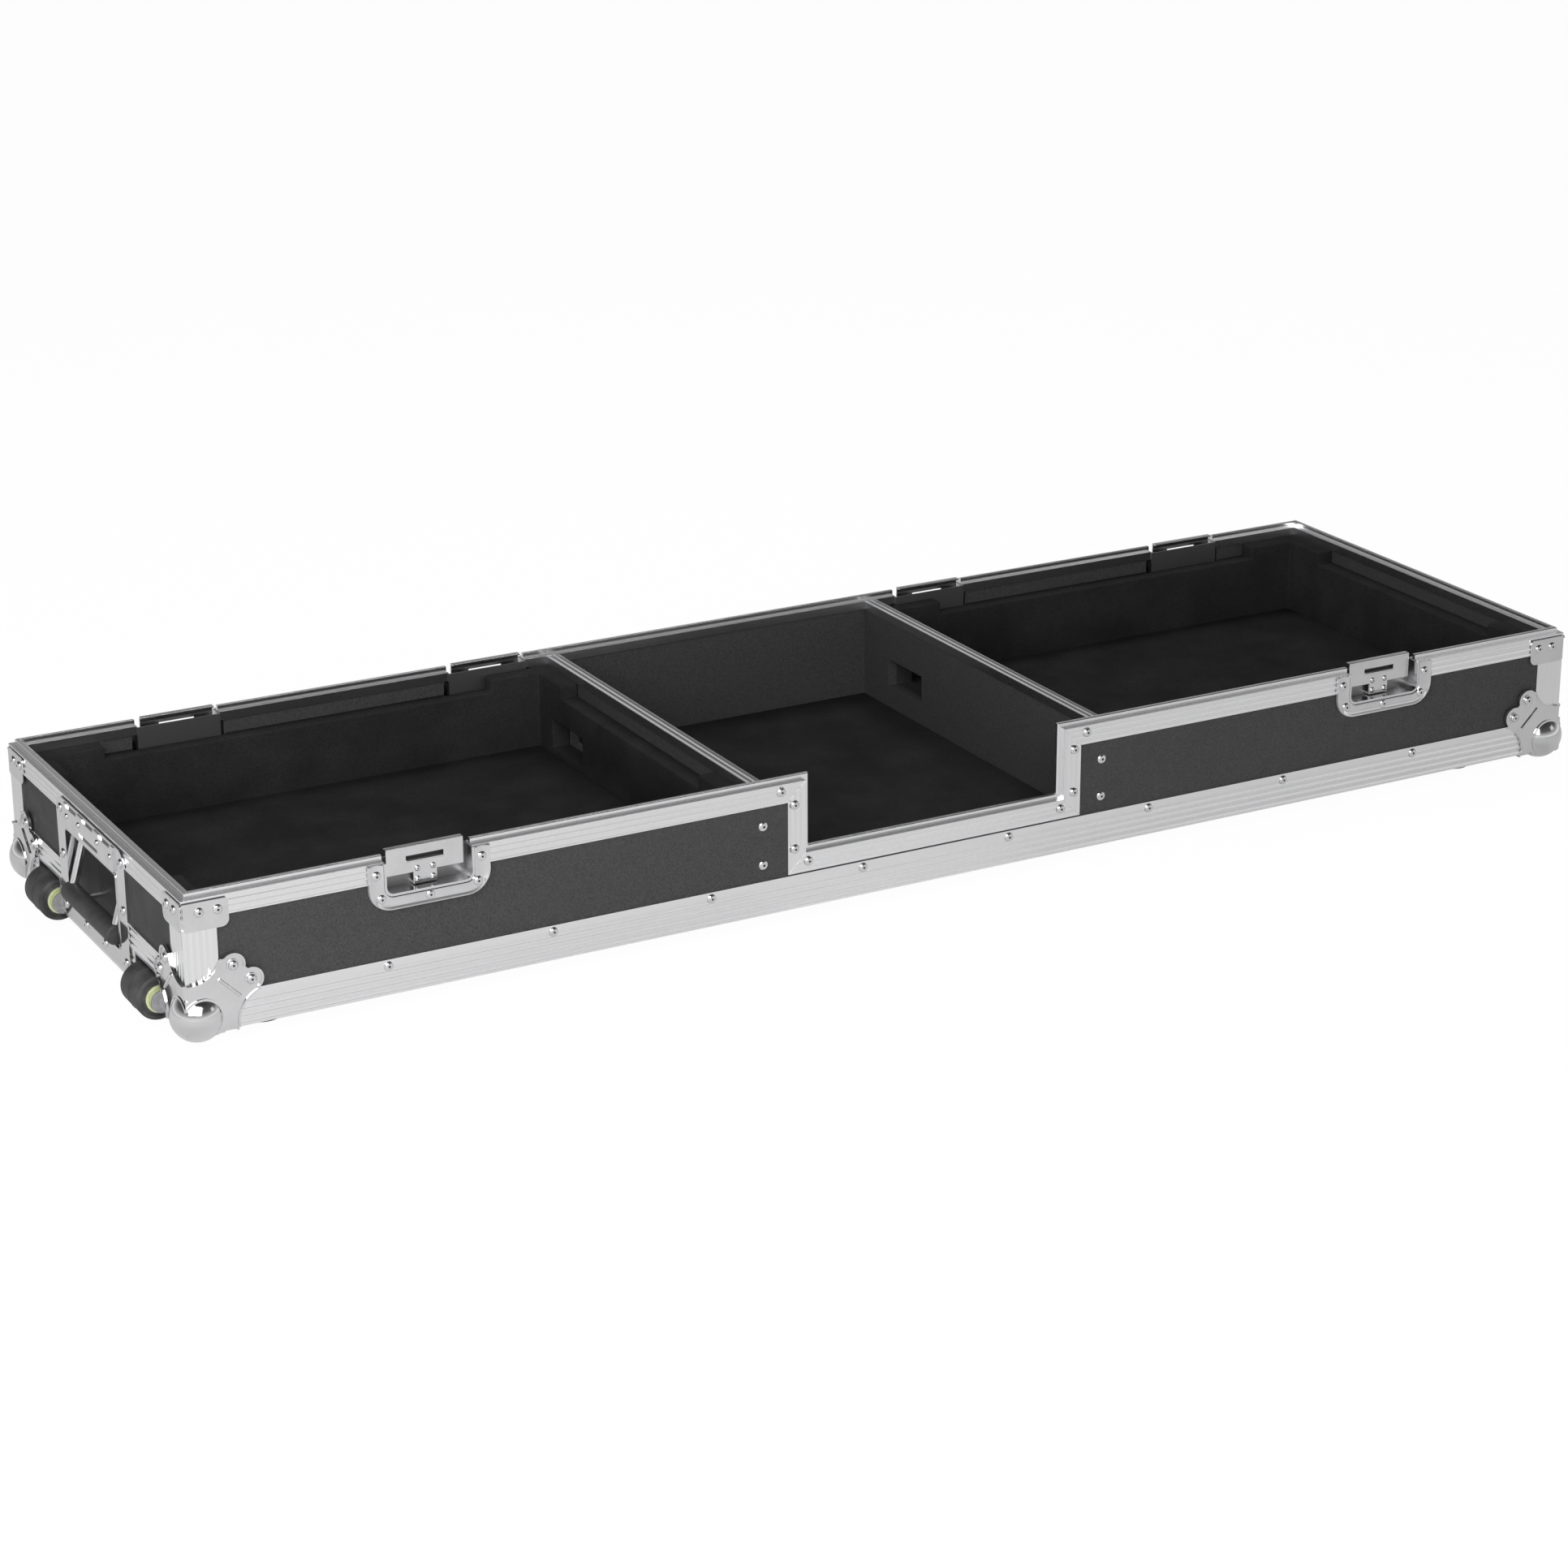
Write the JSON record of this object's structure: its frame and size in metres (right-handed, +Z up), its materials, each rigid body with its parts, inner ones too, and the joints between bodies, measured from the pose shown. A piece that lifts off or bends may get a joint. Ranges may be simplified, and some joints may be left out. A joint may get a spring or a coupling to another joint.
{
  "type": "dj coffin case base",
  "caption": "Shallow wheeled flight case base with foam bays for record players beside a mixer bay, aluminium edging, ball corners, latch dishes and sprung end handles.",
  "frame": {"origin": "middle of the overall length and depth, on the floor under the rubber feet", "axes": "+X along the front from the wheeled end to the other end, +Y from the front with the cut-out to the back, +Z up"},
  "size_m": [1.3678, 0.431, 0.1365],
  "materials": {
    "laminate": "plywood under matte black mottled laminate",
    "rail": "satin drawn rail",
    "chromed_steel": "bright plated sheet",
    "plain_steel": "zinc plated",
    "spring_steel": "dark oiled wire",
    "foam": "matte closed-cell foam",
    "grip_rubber": "matte moulded rubber",
    "tyre_rubber": "matte solid tyre",
    "foot_rubber": "matte rubber",
    "nylon": "natural nylon"
  },
  "bodies": {
    "case": {"floor_panel": "laminate", "front_panel": "laminate", "back_panel": "laminate", "left_end_panel": "laminate", "right_end_panel": "laminate", "left_divider": "laminate", "right_divider": "laminate", "left_divider_cap": "rail", "right_divider_cap": "rail", "front_bottom_rail": "rail", "back_bottom_rail": "rail", "left_bottom_rail": "rail", "right_bottom_rail": "rail", "wheel_notch_strips": "rail", "corner_posts": "rail", "front_left_top_rail": "rail", "front_right_top_rail": "rail", "back_top_rail": "rail", "left_top_rail": "rail", "right_top_rail": "rail", "cutout_left_rail": "rail", "cutout_right_rail": "rail", "cutout_bottom_rail": "rail", "front_left_ball_corner": "chromed_steel", "front_right_ball_corner": "chromed_steel", "back_left_ball_corner": "chromed_steel", "back_right_ball_corner": "chromed_steel", "top_corner_brackets": "chromed_steel", "front_latch_dishes": "chromed_steel", "back_latch_dishes": "chromed_steel", "latch_keepers": "chromed_steel", "end_latch_keepers": "chromed_steel", "left_handle_dish": "chromed_steel", "right_handle_dish": "chromed_steel", "handle_springs": "spring_steel", "front_wheel_housing": "plain_steel", "back_wheel_housing": "plain_steel", "front_wheel_axle": "plain_steel", "back_wheel_axle": "plain_steel", "rubber_feet": "foot_rubber", "foot_screws": "plain_steel", "left_bay_liner": "foam", "right_bay_liner": "foam", "left_bay_pad": "foam", "right_bay_pad": "foam", "mixer_pad": "foam", "edging_rivets": "chromed_steel", "corner_rivets": "chromed_steel", "latch_rivets": "chromed_steel", "handle_rivets": "chromed_steel"},
    "front_wheel": {"front_wheel_tyre": "tyre_rubber", "front_wheel_hub": "nylon", "front_wheel_bush": "plain_steel"},
    "back_wheel": {"back_wheel_tyre": "tyre_rubber", "back_wheel_hub": "nylon", "back_wheel_bush": "plain_steel"},
    "left_handle": {"left_handle_bail": "chromed_steel", "left_handle_grip": "grip_rubber"},
    "right_handle": {"right_handle_bail": "chromed_steel", "right_handle_grip": "grip_rubber"}
  },
  "joints": [
    {"name": "front_wheel_spin", "type": "hinge", "parent": "case", "child": "front_wheel", "pos_m": [-0.66525, -0.118, 0.0245], "axis": [0, 1, 0], "continuous": true},
    {"name": "back_wheel_spin", "type": "hinge", "parent": "case", "child": "back_wheel", "pos_m": [-0.66525, 0.118, 0.0245], "axis": [0, 1, 0], "continuous": true},
    {"name": "left_handle_swing", "type": "hinge", "parent": "case", "child": "left_handle", "pos_m": [-0.65625, 0, 0.096], "axis": [0, 1, 0], "range_deg": [0, 74], "stiffness_Nm_per_rad": 0.15, "springref_deg": -28.65},
    {"name": "right_handle_swing", "type": "hinge", "parent": "case", "child": "right_handle", "pos_m": [0.66175, 0, 0.096], "axis": [0, -1, 0], "range_deg": [0, 74], "stiffness_Nm_per_rad": 0.15, "springref_deg": -28.65}
  ]
}
